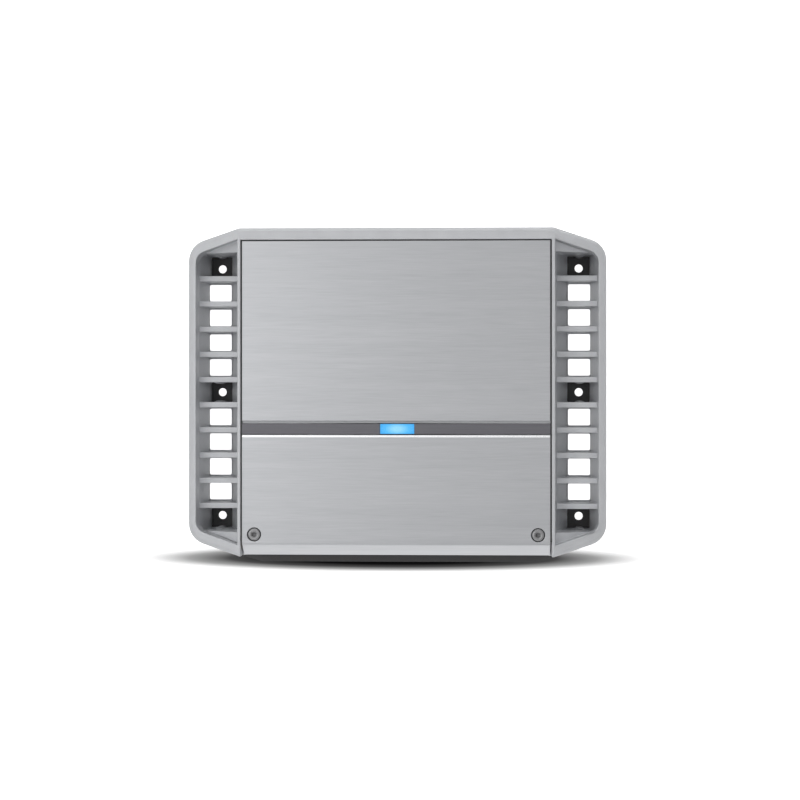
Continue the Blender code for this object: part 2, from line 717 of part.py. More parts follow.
def make_rca():
    middle = sum(RCA_X) / 2
    x = (middle - 16.5, middle + 16.5)
    box_object("rca_housing", x, (-94.6, -78), (ON_BOARD, 41), "black_plastic")
    bore, outer, face, tip = 1.7, 4.2, -94.9, -103.2
    length = face - tip
    profile = [
        (0, 0),
        (outer, 0),
        (outer, -(length - 0.6)),
        (outer - 0.6, -length),
        (bore + 0.8, -length),
        (bore, -(length - 0.8)),
        (bore, -1.5),
        (0, -1.5),
    ]
    number = 0
    for z in reversed(RCA_Z):
        for x in RCA_X:
            number += 1
            turned(f"rca_jack_{number}", profile, "gold", (x, face, z), steps=20, axis="Y")


def make_fuses():
    holder = box_object("fuse_holder", HOLDER_X, HOLDER_Y, HOLDER_Z, "black_plastic")
    half_t, half_h, back, room = 2.6, 9.5, -91.0, 0.4
    fuse_z = (FUSE_Z - half_h, FUSE_Z + half_h)
    blade_z = (FUSE_Z - 5.5, FUSE_Z + 5.5)
    slots, blade_slots = [], []
    for x in FUSE_X:
        across = (x - half_t - room, x + half_t + room)
        slots.append((across, (HOLDER_Y[0] - 1, back + room), (fuse_z[0] - room, fuse_z[1] + room)))
        for z in blade_z:
            blade_slots.append(((x - 0.8, x + 0.8), (back - 1, -82), (z - 3, z + 3)))
    cut_boxes(holder, "fuse_slots", slots)
    cut_boxes(holder, "blade_slots", blade_slots)
    for number, x in enumerate(FUSE_X, 1):
        name = f"fuse_{number}"
        across = (x - half_t, x + half_t)
        fuse = box_object(name, across, (-102.6, back), fuse_z, "blade_fuse", (x, back, FUSE_Z))
        blades = [((x - 0.4, x + 0.4), (back - 2, -83.5), (z - 2.5, z + 2.5)) for z in blade_z]
        cut_boxes(fuse, name + "_blades", blades, operation="UNION")


def make_signal_socket():
    socket = box_object("highlevel_socket", SOCKET_X, SOCKET_Y, SOCKET_Z, "black_plastic")
    wall = 1.5
    room = (
        (SOCKET_X[0] + wall, SOCKET_X[1] - wall),
        (SOCKET_Y[0] - 1, -90.0),
        (SOCKET_Z[0] + wall, SOCKET_Z[1] - wall),
    )
    cut_boxes(socket, "socket_mouth", [room])


# Controls under the cover


def make_controls():
    across = (-CAVITY_X + GAP, CAVITY_X - GAP)
    deck = box_object("control_deck", across, DECK_Y, DECK_Z, "black_steel")
    holes = []
    for x in KNOBS.values():
        start = (x, CONTROL_Y, DECK_Z[0] - 2)
        holes.append({"radius": 3.4, "start": start, "length": 6, "segments": 20})
    cut_cylinders(deck, "shaft_holes", holes)
    slot_half = 2.6 + SWITCH_TRAVEL / 2
    slot_x = (SWITCH_X - slot_half, SWITCH_X + slot_half)
    slot_y = (CONTROL_Y - 2.4, CONTROL_Y + 2.4)
    cut_boxes(deck, "switch_slot", [(slot_x, slot_y, (DECK_Z[0] - 2, DECK_Z[1] + 2))])
    box_object("control_board", (-74, 62), (-61, -39), CONTROL_BOARD_Z, "circuit_board")
    body_z = (CONTROL_BOARD_Z[1] + GAP, 43.6)
    for word, x in KNOBS.items():
        around = (x - 4.9, x + 4.9), (CONTROL_Y - 4.9, CONTROL_Y + 4.9)
        box_object(word + "_potentiometer", *around, body_z, "nickel")
        make_knob(word + "_knob", x, CONTROL_Y)
    around = (SWITCH_X - 6.5, SWITCH_X + 6.5), (CONTROL_Y - 3.4, CONTROL_Y + 3.4)
    box_object("crossover_switch", *around, body_z, "nickel")
    rest_x = SWITCH_X - SWITCH_TRAVEL / 2
    stem = (rest_x - 1.9, rest_x + 1.9), (CONTROL_Y - 1.6, CONTROL_Y + 1.6), (43.9, 52.0)
    slider = box_object("switch_slider", *stem, "black_plastic", (rest_x, CONTROL_Y, 43.9))
    bevel = slider.modifiers.new("Worn edges", "BEVEL")
    bevel.width = 0.4 * MM
    bevel.segments = 1
    link_z = (ON_BOARD, CONTROL_BOARD_Z[0] - GAP)
    box_object("board_link", (-70, -40), (-47, -42), link_z, "black_plastic")


def make_knob(name, x, y):
    """A knob and its shaft, turned in one piece, with a pointer groove across its top."""
    foot, top, low = 48.1, 54.8, 43.9
    profile = [
        (0, top - low),
        (4.8, top - low),
        (5.4, top - low - 0.6),
        (5.7, foot - low),
        (2.9, foot - low),
        (2.9, 0),
        (0, 0),
    ]
    knob = turned(name, profile, "black_plastic", (x, y, low), steps=20)
    groove = ((x - 0.6, x + 0.6), (y, y + 7), (top - 0.8, top + 1))
    cut_boxes(knob, name + "_groove", [groove])


# Power supply and output stage


def make_board():
    box_object("main_board", (-BOARD_X, BOARD_X), BOARD_Y, BOARD_Z, "circuit_board")


def make_coils():
    bpy.ops.mesh.primitive_torus_add(
        major_radius=RING_R * MM,
        minor_radius=RING_TUBE_R * MM,
        major_segments=24,
        minor_segments=10,
        location=(0, RING_Y * MM, (ON_BOARD + RING_TUBE_R + GAP) * MM),
    )
    ring = bpy.context.object
    ring.name = "power_transformer"
    ring.data.materials.append(finish("copper"))
    for owner in list(ring.users_collection):
        owner.objects.unlink(ring)
    amplifier.objects.link(ring)
    smooth(ring)
    choke = [(0, 16), (9, 16), (9, 14), (7, 13), (7, 3), (9, 2), (9, 0), (0, 0)]
    turned("output_choke", choke, "copper", (*CHOKE_AT, ON_BOARD), steps=16)


def make_capacitors():
    top = [(0, 34), (7.6, 34), (8.6, 33.2), (9, 32)]
    foot = [(9, 3.4), (8.5, 3), (8.5, 2.4), (9, 2), (9, 0), (0, 0)]
    for number, (x, y) in enumerate(CAPACITORS, 1):
        name = f"supply_capacitor_{number}"
        turned(name, top + foot, "capacitor_sleeve", (x, y, ON_BOARD), steps=16)


def make_output_stage():
    """Two transistors against each wall, held there by a clamp bar on three feet."""
    wall = CAVITY_X - GAP
    number = 0
    for side, word in ((-1, "left"), (1, "right")):
        body_x = sorted((side * (wall - 4.6), side * wall))
        for y in TRANSISTOR_Y:
            number += 1
            name = f"power_transistor_{number}"
            box_object(name, body_x, (y - 5.2, y + 5.2), (ON_BOARD, 29), "black_plastic")
        bar_x = sorted((side * (wall - 8.2), side * (wall - 4.9)))
        clamp = box_object("transistor_clamp_" + word, bar_x, CLAMP_Y, CLAMP_Z, "nickel")
        foot_x = sorted((side * (wall - 6), side * wall))
        foot_z = (CLAMP_Z[0] + 0.5, CLAMP_Z[1] - 0.5)
        feet = [(foot_x, y, foot_z) for y in ((0.5, 6), (27, 33), (54, 59.5))]
        cut_boxes(clamp, "clamp_feet_" + word, feet, operation="UNION")


clear_scene()
amplifier = new_collection("car_amplifier")
cutters = new_collection("cutters")
make_chassis()
make_top_face()
make_cover()
make_bottom_plate()
make_panel()
make_terminals()
make_rca()
make_fuses()
make_signal_socket()
make_controls()
make_board()
make_coils()
make_capacitors()
make_output_stage()
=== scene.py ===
"""The looks of the car amplifier: finishes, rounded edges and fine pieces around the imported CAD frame."""

import json
import math

import bmesh
import bpy
from mathutils import Matrix, Vector


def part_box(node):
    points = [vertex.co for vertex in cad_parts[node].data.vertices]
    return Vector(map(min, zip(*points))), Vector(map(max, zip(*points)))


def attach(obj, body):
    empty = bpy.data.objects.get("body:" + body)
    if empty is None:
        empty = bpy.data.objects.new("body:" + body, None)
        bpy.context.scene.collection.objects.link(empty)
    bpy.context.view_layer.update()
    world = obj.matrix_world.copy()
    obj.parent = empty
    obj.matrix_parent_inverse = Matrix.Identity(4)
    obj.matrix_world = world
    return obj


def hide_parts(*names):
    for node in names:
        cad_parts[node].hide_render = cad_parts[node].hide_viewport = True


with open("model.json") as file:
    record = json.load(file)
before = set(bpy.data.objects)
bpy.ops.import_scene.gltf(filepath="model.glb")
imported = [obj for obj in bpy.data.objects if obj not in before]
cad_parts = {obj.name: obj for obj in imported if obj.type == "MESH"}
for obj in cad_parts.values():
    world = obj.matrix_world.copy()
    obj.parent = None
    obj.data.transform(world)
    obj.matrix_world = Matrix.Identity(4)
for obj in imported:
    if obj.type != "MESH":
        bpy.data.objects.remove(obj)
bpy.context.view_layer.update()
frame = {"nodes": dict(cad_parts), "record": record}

MM = 0.001


# Material building


def new_material(name, colour, metallic=0.0, roughness=0.5, **sockets):
    """A Principled material. Extra words set other sockets, with underscores for spaces."""
    made = bpy.data.materials.new(name)
    made.use_nodes = True
    shader = made.node_tree.nodes["Principled BSDF"]
    shader.inputs["Base Color"].default_value = (*colour, 1.0)
    shader.inputs["Metallic"].default_value = metallic
    shader.inputs["Roughness"].default_value = roughness
    for word, value in sockets.items():
        shader.inputs[word.replace("_", " ")].default_value = value
    return made


def shader_of(material):
    return material.node_tree.nodes["Principled BSDF"]


def add_noise(material, scale, stretch=(1, 1, 1), detail=3.0):
    """A noise over the object's own coordinates: scale is features per metre, before the stretch."""
    nodes, links = material.node_tree.nodes, material.node_tree.links
    place = nodes.new("ShaderNodeTexCoord")
    mapping = nodes.new("ShaderNodeMapping")
    mapping.inputs["Scale"].default_value = stretch
    noise = nodes.new("ShaderNodeTexNoise")
    noise.inputs["Scale"].default_value = scale
    noise.inputs["Detail"].default_value = detail
    links.new(place.outputs["Object"], mapping.inputs["Vector"])
    links.new(mapping.outputs["Vector"], noise.inputs["Vector"])
    return noise.outputs["Fac"]


def mixed(material, one, two, share=0.5):
    """A number between two sockets."""
    mix = material.node_tree.nodes.new("ShaderNodeMix")
    mix.inputs["Factor"].default_value = share
    material.node_tree.links.new(one, mix.inputs["A"])
    material.node_tree.links.new(two, mix.inputs["B"])
    return mix.outputs["Result"]


NOISE_LOW, NOISE_HIGH = 0.25, 0.75  # most of a noise lies between these


def vary_roughness(material, fac, low, high):
    """Runs the roughness from low to high with the noise."""
    spread = material.node_tree.nodes.new("ShaderNodeMapRange")
    spread.inputs["From Min"].default_value = NOISE_LOW
    spread.inputs["From Max"].default_value = NOISE_HIGH
    spread.inputs["To Min"].default_value = low
    spread.inputs["To Max"].default_value = high
    material.node_tree.links.new(fac, spread.inputs["Value"])
    material.node_tree.links.new(spread.outputs["Result"], shader_of(material).inputs["Roughness"])


def vary_colour(material, fac, dark, light, floor=0.3, ceiling=0.7):
    """Runs the base colour from dark to light with the noise."""
    ramp = material.node_tree.nodes.new("ShaderNodeValToRGB")
    ramp.color_ramp.elements[0].position = floor
    ramp.color_ramp.elements[0].color = (*dark, 1.0)
    ramp.color_ramp.elements[1].position = ceiling
    ramp.color_ramp.elements[1].color = (*light, 1.0)
    material.node_tree.links.new(fac, ramp.inputs["Fac"])
    material.node_tree.links.new(ramp.outputs["Color"], shader_of(material).inputs["Base Color"])


def add_bump(material, fac, depth, strength=1.0):
    """Raises the surface by up to depth, in metres, where the noise is high."""
    bump = material.node_tree.nodes.new("ShaderNodeBump")
    bump.inputs["Strength"].default_value = strength
    bump.inputs["Distance"].default_value = depth
    material.node_tree.links.new(fac, bump.inputs["Height"])
    material.node_tree.links.new(bump.outputs["Normal"], shader_of(material).inputs["Normal"])


def gradient_ball(material, middle, reach, stops):
    """A colour that changes from the outside of a stretched ball, at 0, to its middle, at 1."""
    nodes, links = material.node_tree.nodes, material.node_tree.links
    place = nodes.new("ShaderNodeTexCoord")
    mapping = nodes.new("ShaderNodeMapping")
    mapping.vector_type = "TEXTURE"
    mapping.inputs["Location"].default_value = middle
    mapping.inputs["Scale"].default_value = reach
    ball = nodes.new("ShaderNodeTexGradient")
    ball.gradient_type = "SPHERICAL"
    ramp = nodes.new("ShaderNodeValToRGB")
    first, last = ramp.color_ramp.elements
    first.position, first.color = stops[0][0], (*stops[0][1], 1)
    last.position, last.color = stops[-1][0], (*stops[-1][1], 1)
    for position, colour in stops[1:-1]:
        ramp.color_ramp.elements.new(position).color = (*colour, 1)
    links.new(place.outputs["Object"], mapping.inputs["Vector"])
    links.new(mapping.outputs["Vector"], ball.inputs["Vector"])
    links.new(ball.outputs["Fac"], ramp.inputs["Fac"])
    return ramp.outputs["Color"]


# Materials

SMOOTHER, ROUGHER = 0.06, 0.08  # how far grain takes the roughness either way


def cast_aluminium():
    """A fine blasted grain over broad faint patches."""
    made = new_material("cast_aluminium", (0.60, 0.61, 0.63), metallic=0.2, roughness=0.5)
    grain = add_noise(made, scale=2600, detail=4)
    patches = add_noise(made, scale=90, detail=2)
    vary_colour(made, mixed(made, grain, patches), (0.56, 0.57, 0.59), (0.64, 0.65, 0.67))
    vary_roughness(made, patches, 0.46, 0.54)
    add_bump(made, grain, depth=0.00005, strength=0.4)
    return made


def brushed_aluminium():
    """Fine lines along X, with a few longer and lighter ones."""
    made = new_material("brushed_aluminium", (0.39, 0.396, 0.41), metallic=0.9, roughness=0.34)
    fine = add_noise(made, scale=1, stretch=(55, 1900, 55), detail=4)
    broad = add_noise(made, scale=1, stretch=(9, 300, 9), detail=2)
    streaks = mixed(made, fine, broad, share=0.4)
    dark, light = (0.365, 0.371, 0.385), (0.415, 0.421, 0.435)
    vary_colour(made, streaks, dark, light, floor=0.35, ceiling=0.65)
    vary_roughness(made, streaks, 0.31, 0.37)
    add_bump(made, fine, depth=0.00002, strength=0.25)
    return made


def dark_strip():
    """Satin dark grey with lines along X."""
    made = new_material("dark_strip", (0.19, 0.19, 0.205), metallic=0.5, roughness=0.42)
    streaks = add_noise(made, scale=1, stretch=(40, 1800, 40), detail=4)
    vary_colour(made, streaks, (0.125, 0.123, 0.137), (0.145, 0.143, 0.157))
    vary_roughness(made, streaks, 0.38, 0.46)
    add_bump(made, streaks, depth=0.00002, strength=0.3)
    return made


def black_powder():
    """A black powder coat with an orange-peel grain."""
    made = new_material("black_powder", (0.055, 0.055, 0.057), metallic=0.0, roughness=0.5)
    grain = add_noise(made, scale=1500, detail=3)
    vary_colour(made, grain, (0.045, 0.045, 0.047), (0.065, 0.065, 0.067))
    vary_roughness(made, grain, 0.42, 0.6)
    add_bump(made, grain, depth=0.00008, strength=0.6)
    return made


def moulded_plastic(name, colour, roughness=0.45):
    """Plastic with a fine grain and a faint cloud in its colour."""
    made = new_material(name, colour, metallic=0.0, roughness=roughness)
    grain = add_noise(made, scale=2200, detail=3)
    cloud = add_noise(made, scale=120, detail=2)
    dark = tuple(c * 0.85 for c in colour)
    light = tuple(c * 1.15 + 0.002 for c in colour)
    vary_colour(made, cloud, dark, light)
    vary_roughness(made, grain, roughness - SMOOTHER, roughness + ROUGHER)
    add_bump(made, grain, depth=0.00003, strength=0.4)
    return made


def plain_metal(name, colour, roughness=0.3):
    """Bare or plated metal with a fine grain."""
    made = new_material(name, colour, metallic=1.0, roughness=roughness)
    grain = add_noise(made, scale=1800, detail=3)
    dark = tuple(c * 0.9 for c in colour)
    light = tuple(min(1.0, c * 1.08) for c in colour)
    vary_colour(made, grain, dark, light)
    vary_roughness(made, grain, roughness - SMOOTHER, roughness + ROUGHER)
    add_bump(made, grain, depth=0.00001, strength=0.4)
    return made


MATERIALS = {
    "cast_aluminium": cast_aluminium(),
    "brushed_aluminium": brushed_aluminium(),
    "dark_strip": dark_strip(),
    "black_powder": black_powder(),
    "black_plastic": moulded_plastic("black_plastic", (0.02, 0.02, 0.021)),
    "steel": plain_metal("steel", (0.25, 0.25, 0.255), 0.36),
    # painted highlight: a brighter metal for the strip on the front cover's rear edge, standing in for the
    # light that edge catches
    "painted_highlight_edge": plain_metal("painted_highlight_edge", (0.80, 0.81, 0.82), 0.3),
    "black_oxide": plain_metal("black_oxide", (0.12, 0.12, 0.123), 0.35),
    "gold": plain_metal("gold", (0.83, 0.60, 0.25), 0.22),
    "nickel": plain_metal("nickel", (0.62, 0.60, 0.56), 0.25),
    "aluminium_lid": plain_metal("aluminium_lid", (0.68, 0.68, 0.69), 0.35),
    "white_mark": moulded_plastic("white_mark", (0.75, 0.75, 0.74), 0.5),
    "red_insulator": moulded_plastic("red_insulator", (0.55, 0.02, 0.02), 0.35),
    "white_insulator": moulded_plastic("white_insulator", (0.78, 0.77, 0.74), 0.35),
    "circuit_board": moulded_plastic("circuit_board", (0.012, 0.12, 0.045), 0.35),
    "sleeve": moulded_plastic("sleeve", (0.015, 0.02, 0.05), 0.3),
    "copper": plain_metal("copper", (0.66, 0.28, 0.11), 0.3),
    "epoxy": moulded_plastic("epoxy", (0.025, 0.025, 0.026), 0.5),
    "fuse": moulded_plastic("fuse", (0.7, 0.06, 0.04), 0.2),
}
LENS = new_material("lens", (0.025, 0.08, 0.14), metallic=0.0, roughness=0.25)


# CAD nodes that keep their shape

WELD_METRES = 1e-5
NODE_EDGE_DEGREES = 30
PIECE_EDGE_DEGREES = 40


def soften(obj, edge, degrees):
    """Rounds the edges that turn by more than some degrees, over a width in millimetres."""
    bevel = obj.modifiers.new("Edges", "BEVEL")
    bevel.width = edge * MM
    bevel.segments = 2
    bevel.limit_method = "ANGLE"
    bevel.angle_limit = math.radians(degrees)
    return bevel


def dress(node, material, edge):
    """Gives a CAD node a finish and softly rounded edges, their width in millimetres."""
    obj = frame["nodes"][node]
    obj.data.materials.clear()
    obj.data.materials.append(MATERIALS[material] if isinstance(material, str) else material)
    obj.data.shade_smooth()
    if "custom_normal" in obj.data.attributes:
        obj.data.attributes.remove(obj.data.attributes["custom_normal"])
    weld = obj.modifiers.new("Weld", "WELD")
    weld.merge_threshold = WELD_METRES
    if edge:
        soften(obj, edge, NODE_EDGE_DEGREES).use_clamp_overlap = False
    obj.modifiers.new("Normals", "WEIGHTED_NORMAL")


# Node: its material, and the width of its rounded edges in millimetres
FINISHES = {
    "heatsink_chassis": ("cast_aluminium", 0.45),
    "top_plate": ("brushed_aluminium", 0.4),
    "front_cover": ("brushed_aluminium", 0.3),
    "accent_strip": ("dark_strip", 0.2),
    "bottom_plate": ("black_powder", 0.25),
    "cover_screw_left": ("steel", 0.15),
    "cover_screw_right": ("steel", 0.15),
    "terminal_panel": ("black_plastic", 0.25),
    "power_terminal_block": ("black_plastic", 0.3),
    "speaker_terminal_block": ("black_plastic", 0.3),
    "fuse_holder": ("black_plastic", 0.3),
    "highlevel_socket": ("black_plastic", 0.3),
    "rca_housing": ("black_plastic", 0.3),
    "board_link": ("black_plastic", 0.2),
    "control_deck": ("black_powder", 0.2),
    "switch_slider": ("black_plastic", 0.0),
    "main_board": ("circuit_board", 0.0),
    "control_board": ("circuit_board", 0.0),
    "led_board": ("circuit_board", 0.0),
    "power_transformer": ("copper", 0.0),
    "output_choke": ("copper", 0.0),
    "crossover_switch": ("nickel", 0.2),
    "transistor_clamp_left": ("nickel", 0.3),
    "transistor_clamp_right": ("nickel", 0.3),
    "status_lens": (LENS, 0.25),
    "fuse_1": ("fuse", 0.2),
    "fuse_2": ("fuse", 0.2),
}
for number in range(1, 7):
    FINISHES[f"bottom_screw_{number}"] = ("black_oxide", 0.0)
for number in range(1, 5):
    FINISHES[f"rca_jack_{number}"] = ("gold", 0.1)
    FINISHES[f"speaker_set_screw_{number}"] = ("nickel", 0.1)
    FINISHES[f"supply_capacitor_{number}"] = ("sleeve", 0.0)
    FINISHES[f"power_transistor_{number}"] = ("epoxy", 0.2)
for number in range(1, 4):
    FINISHES[f"power_set_screw_{number}"] = ("nickel", 0.1)
for word in ("gain", "crossover", "bass"):
    FINISHES[f"{word}_knob"] = ("black_plastic", 0.0)
    FINISHES[f"{word}_potentiometer"] = ("nickel", 0.2)
for node, (material, edge) in FINISHES.items():
    dress(node, material, edge)


# The lit window

GLOW = ((0.0, (0.03, 0.37, 0.82)), (0.3, (0.06, 0.45, 0.88)), (0.75, (0.26, 0.64, 0.95)))
GLOW_WIDER_Y = 1.6


def light_lens():
    """Blue light behind the window, whitest in the middle."""
    low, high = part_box("status_lens")
    middle, half = (low + high) / 2, (high - low) / 2
    glow = gradient_ball(LENS, middle, (half.x, half.y * GLOW_WIDER_Y, 1.0), GLOW)
    LENS.node_tree.links.new(glow, shader_of(LENS).inputs["Emission Color"])
    shader_of(LENS).inputs["Emission Strength"].default_value = 1.0
    frost = add_noise(LENS, scale=1500)
    vary_colour(LENS, frost, (0.02, 0.07, 0.12), (0.03, 0.10, 0.16))
    vary_roughness(LENS, frost, 0.2, 0.32)
    add_bump(LENS, frost, depth=0.00002, strength=0.3)


light_lens()


# Fine pieces that stand for plain CAD solids. Their measures are in millimetres.

MERGE_METRES = 1e-6


def finish_piece(bm, name, material, body, stands_for=(), edge=0.12):
    """Makes the built mesh a piece with softened edges, which rides on a body."""
    bmesh.ops.remove_doubles(bm, verts=bm.verts, dist=MERGE_METRES)
    bmesh.ops.recalc_face_normals(bm, faces=bm.faces)
    mesh = bpy.data.meshes.new(name)
    bm.to_mesh(mesh)
    bm.free()
    mesh.materials.append(MATERIALS[material])
    mesh.shade_smooth()
    piece = bpy.data.objects.new(name, mesh)
    bpy.context.scene.collection.objects.link(piece)
    if edge:
        soften(piece, edge, PIECE_EDGE_DEGREES)
    piece.modifiers.new("Normals", "WEIGHTED_NORMAL")
    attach(piece, body)
    if stands_for:
        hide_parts(*stands_for)
    return piece


def turned(profile, steps=48, place=None, flutes=0, depth=0.0, fluted=()):
    """A surface of revolution about Z, moved by the matrix place. The profile is (radius, height)
    in millimetres, pole to pole, and its points numbered in fluted dip inwards by depth at each of
    the flutes."""
    bm = bmesh.new()
    rings = []
    for number, (radius, height) in enumerate(profile):
        if radius == 0:
            rings.append([bm.verts.new((0, 0, height * MM))])
            continue
        ring = []
        for step in range(steps):
            angle = 2 * math.pi * step / steps
            dip = depth * max(0.0, math.cos(flutes * angle)) if number in fluted else 0.0
            reach = (radius - dip) * MM
            ring.append(bm.verts.new((reach * math.cos(angle), reach * math.sin(angle), height * MM)))
        rings.append(ring)
    for below, above in zip(rings, rings[1:]):
        for step in range(steps):
            after = (step + 1) % steps
            corners = [below[step % len(below)], below[after % len(below)]]
            corners += [above[after % len(above)], above[step % len(above)]]
            bm.faces.new(list(dict.fromkeys(corners)))
    if place:
        bmesh.ops.transform(bm, matrix=place, verts=bm.verts)
    return bm


def add_block(bm, low, high, turn=None):
    """Adds a box between two corners, in millimetres, turned by a matrix."""
    size = [(b - a) * MM for a, b in zip(low, high)]
    middle = [(a + b) / 2 * MM for a, b in zip(low, high)]
    matrix = Matrix.Translation(middle) @ Matrix.Diagonal((*size, 1))
    bmesh.ops.create_cube(bm, size=1, matrix=turn @ matrix if turn else matrix)


def carve(piece, bm):
    """Cuts a closed mesh out of a piece, for good."""
    mesh = bpy.data.meshes.new("cutter")
    bm.to_mesh(mesh)
    bm.free()
    cutter = bpy.data.objects.new("cutter", mesh)
    bpy.context.scene.collection.objects.link(cutter)
    cut = piece.modifiers.new("Cut", "BOOLEAN")
    cut.operation = "DIFFERENCE"
    cut.object = cutter
    others = [modifier for modifier in piece.modifiers if modifier != cut]
    for modifier in others:
        modifier.show_viewport = False
    bpy.context.view_layer.update()
    evaluated = piece.evaluated_get(bpy.context.evaluated_depsgraph_get())
    carved = bpy.data.meshes.new_from_object(evaluated)
    for modifier in others:
        modifier.show_viewport = True
    piece.modifiers.remove(cut)
    piece.data = carved
    bpy.data.objects.remove(cutter)


SOCKET_FLOOR = 0.3
FACES_UP = 0.9


def paint_socket_shade(piece, bottom, reach):
    """Gives the faces inside a socket, above a height and within a radius, the dark black oxide material:
    painted shade in the socket's recess.
    """
    mesh = piece.data
    mesh.materials.append(MATERIALS["black_oxide"])
    for face in mesh.polygons:
        deep = face.center.z > bottom * MM and face.center.xy.length < reach * MM
        slanted = face.normal.z < FACES_UP or face.center.z < (bottom + SOCKET_FLOOR) * MM
        if deep and slanted:
            face.material_index = 1


def hexagon(across_flats, bottom, top):
    """A hexagonal prism about Z, as a cutter."""
    bm = bmesh.new()
    radius = across_flats / math.sqrt(3) * MM
    matrix = Matrix.Translation((0, 0, (bottom + top) / 2 * MM))
    bmesh.ops.create_cone(
        bm,
        segments=6,
        radius1=radius,
        radius2=radius,
        depth=(top - bottom) * MM,
        cap_ends=True,
        matrix=matrix,
    )
    return bm


def node_frame(node):
    """A node's middle in plan, with its lowest and highest Z in millimetres."""
    low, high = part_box(node)
    return Matrix.Translation(((low.x + high.x) / 2, (low.y + high.y) / 2, 0)), low.z / MM, high.z / MM


SOCKET_MM = 3.0
SOCKET_DEEP = 1.9
SOCKET_REACH = 1.9
HEAD_R = 4.12
HEAD_H = 3.1
HEAD_SIDE_H = 1.5
HEAD_DOME_R = 0.9
HEAD_DOME_H = 1.3
HEAD_DISH_R = 2.2
HEAD_DISH_DEEP = 0.45
TIP_R = 1.5
CORE_R = 1.9
CREST_R = 1.98
ROOT_R = 1.6
PITCH = 0.7
THREADS = 14


def make_cover_screw(side):
    """A domed screw with a hexagon socket in a shallow dish, and a thread."""
    node = f"cover_screw_{side}"
    place, low, high = node_frame(node)
    seat = high - HEAD_H
    profile = [(0, low), (TIP_R, low), (CORE_R, low + 0.5)]
    for turn in range(THREADS):
        height = low + PITCH + turn * PITCH
        profile += [(CREST_R, height), (ROOT_R, height + PITCH / 2)]
    profile += [(CORE_R, seat - 0.2), (CORE_R + 0.05, seat)]
    profile += [(HEAD_R, seat + 0.02), (HEAD_R, seat + HEAD_SIDE_H)]
    for angle in range(10, 81, 10):
        rise = math.radians(angle)
        radius = HEAD_R - HEAD_DOME_R * (1 - math.cos(rise))
        profile.append((radius, seat + HEAD_SIDE_H + HEAD_DOME_H * math.sin(rise)))
    profile += [(HEAD_DISH_R, high - 0.02), (HEAD_DISH_R - 0.5, high - HEAD_DISH_DEEP)]
    profile.append((0, high - HEAD_DISH_DEEP))
    bm = turned(profile, steps=56)
    name = f"{node}_turned"
    piece = finish_piece(bm, name, "steel", node, (node,), edge=0.0)
    carve(piece, hexagon(SOCKET_MM, high - SOCKET_DEEP, high + 1))
    # painted shade: the inside of the steel screw's socket is darkened with the black oxide material
    paint_socket_shade(piece, high - SOCKET_DEEP - 0.1, SOCKET_REACH)
    piece.data.transform(place)


KNOB_SHAFT_R = 2.9
KNOB_SHAFT_H = 4.3
KNOB_SKIRT_R = 5.6
KNOB_SKIRT_H = 0.9
KNOB_GRIP_R = 5.2
KNOB_TOP_R = 4.2
KNOB_DISH_R = 3.4
KNOB_DISH_DEEP = 0.35
KNOB_FLUTES = 20
KNOB_FLUTE_DEEP = 0.45
POINTER_HALF_W = 0.35


def make_knob(word):
    """A fluted knob on its shaft, with a pointer line along its top and side."""
    node = f"{word}_knob"
    place, low, high = node_frame(node)
    skirt = low + KNOB_SHAFT_H
    top = high - 0.05
    profile = [(0, low), (KNOB_SHAFT_R, low), (KNOB_SHAFT_R, skirt)]
    profile += [(KNOB_SKIRT_R, skirt), (KNOB_SKIRT_R, skirt + KNOB_SKIRT_H)]
    grip = len(profile)
    profile += [(KNOB_GRIP_R, skirt + KNOB_SKIRT_H + 0.4), (KNOB_GRIP_R - 0.1, high - 0.9)]
    profile += [(KNOB_GRIP_R - 0.5, high - 0.3), (KNOB_TOP_R, top), (KNOB_DISH_R + 0.2, top)]
    profile += [(KNOB_DISH_R, high - KNOB_DISH_DEEP), (0, high - KNOB_DISH_DEEP)]
    fluted = (grip, grip + 1, grip + 2)
    bm = turned(profile, 120, place, KNOB_FLUTES, KNOB_FLUTE_DEEP, fluted)
    finish_piece(bm, f"{node}_fluted", "black_plastic", node, (node,), edge=0.05)
    line = bmesh.new()
    add_block(line, (-POINTER_HALF_W, 1.2, high - 0.4), (POINTER_HALF_W, 4.6, high), place)
    low_end, high_end = skirt + 1.4, high - 0.15
    add_block(line, (-POINTER_HALF_W, 4.4, low_end), (POINTER_HALF_W, KNOB_GRIP_R, high_end), place)
    finish_piece(line, f"{word}_pointer", "white_mark", node, edge=0.08)


DIAL_TICKS = 11
DIAL_SWEEP = 140
TICK_START_R = 6.5
TICK_HALF_W = 0.17
TICK_LONG, TICK_SHORT = 1.7, 1.1


def make_dial(word):
    """The painted ticks round a knob, longer at both ends and in the middle."""
    place = node_frame(f"{word}_knob")[0]
    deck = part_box("control_deck")[1].z / MM
    bm = bmesh.new()
    for number in range(DIAL_TICKS):
        share = number / (DIAL_TICKS - 1)
        turn = Matrix.Rotation(math.radians(DIAL_SWEEP * (1 - 2 * share)), 4, "Z")
        length = TICK_LONG if share in (0, 0.5, 1) else TICK_SHORT
        low = (-TICK_HALF_W, TICK_START_R, deck - 0.02)
        high = (TICK_HALF_W, TICK_START_R + length, deck + 0.05)
        add_block(bm, low, high, place @ turn)
    finish_piece(bm, f"{word}_dial_ticks", "white_mark", "chassis", edge=0.0)


JACK_WALL = 0.75
JACK_LIP = 0.25
JACK_FLOOR = 1.5
INSULATOR_BORE_R = 1.75
CONTACT_R = 1.7
CONTACT_BORE_R = 1.25
UPPER_ROW_ABOVE = 0.012  # metres above the housing's underside


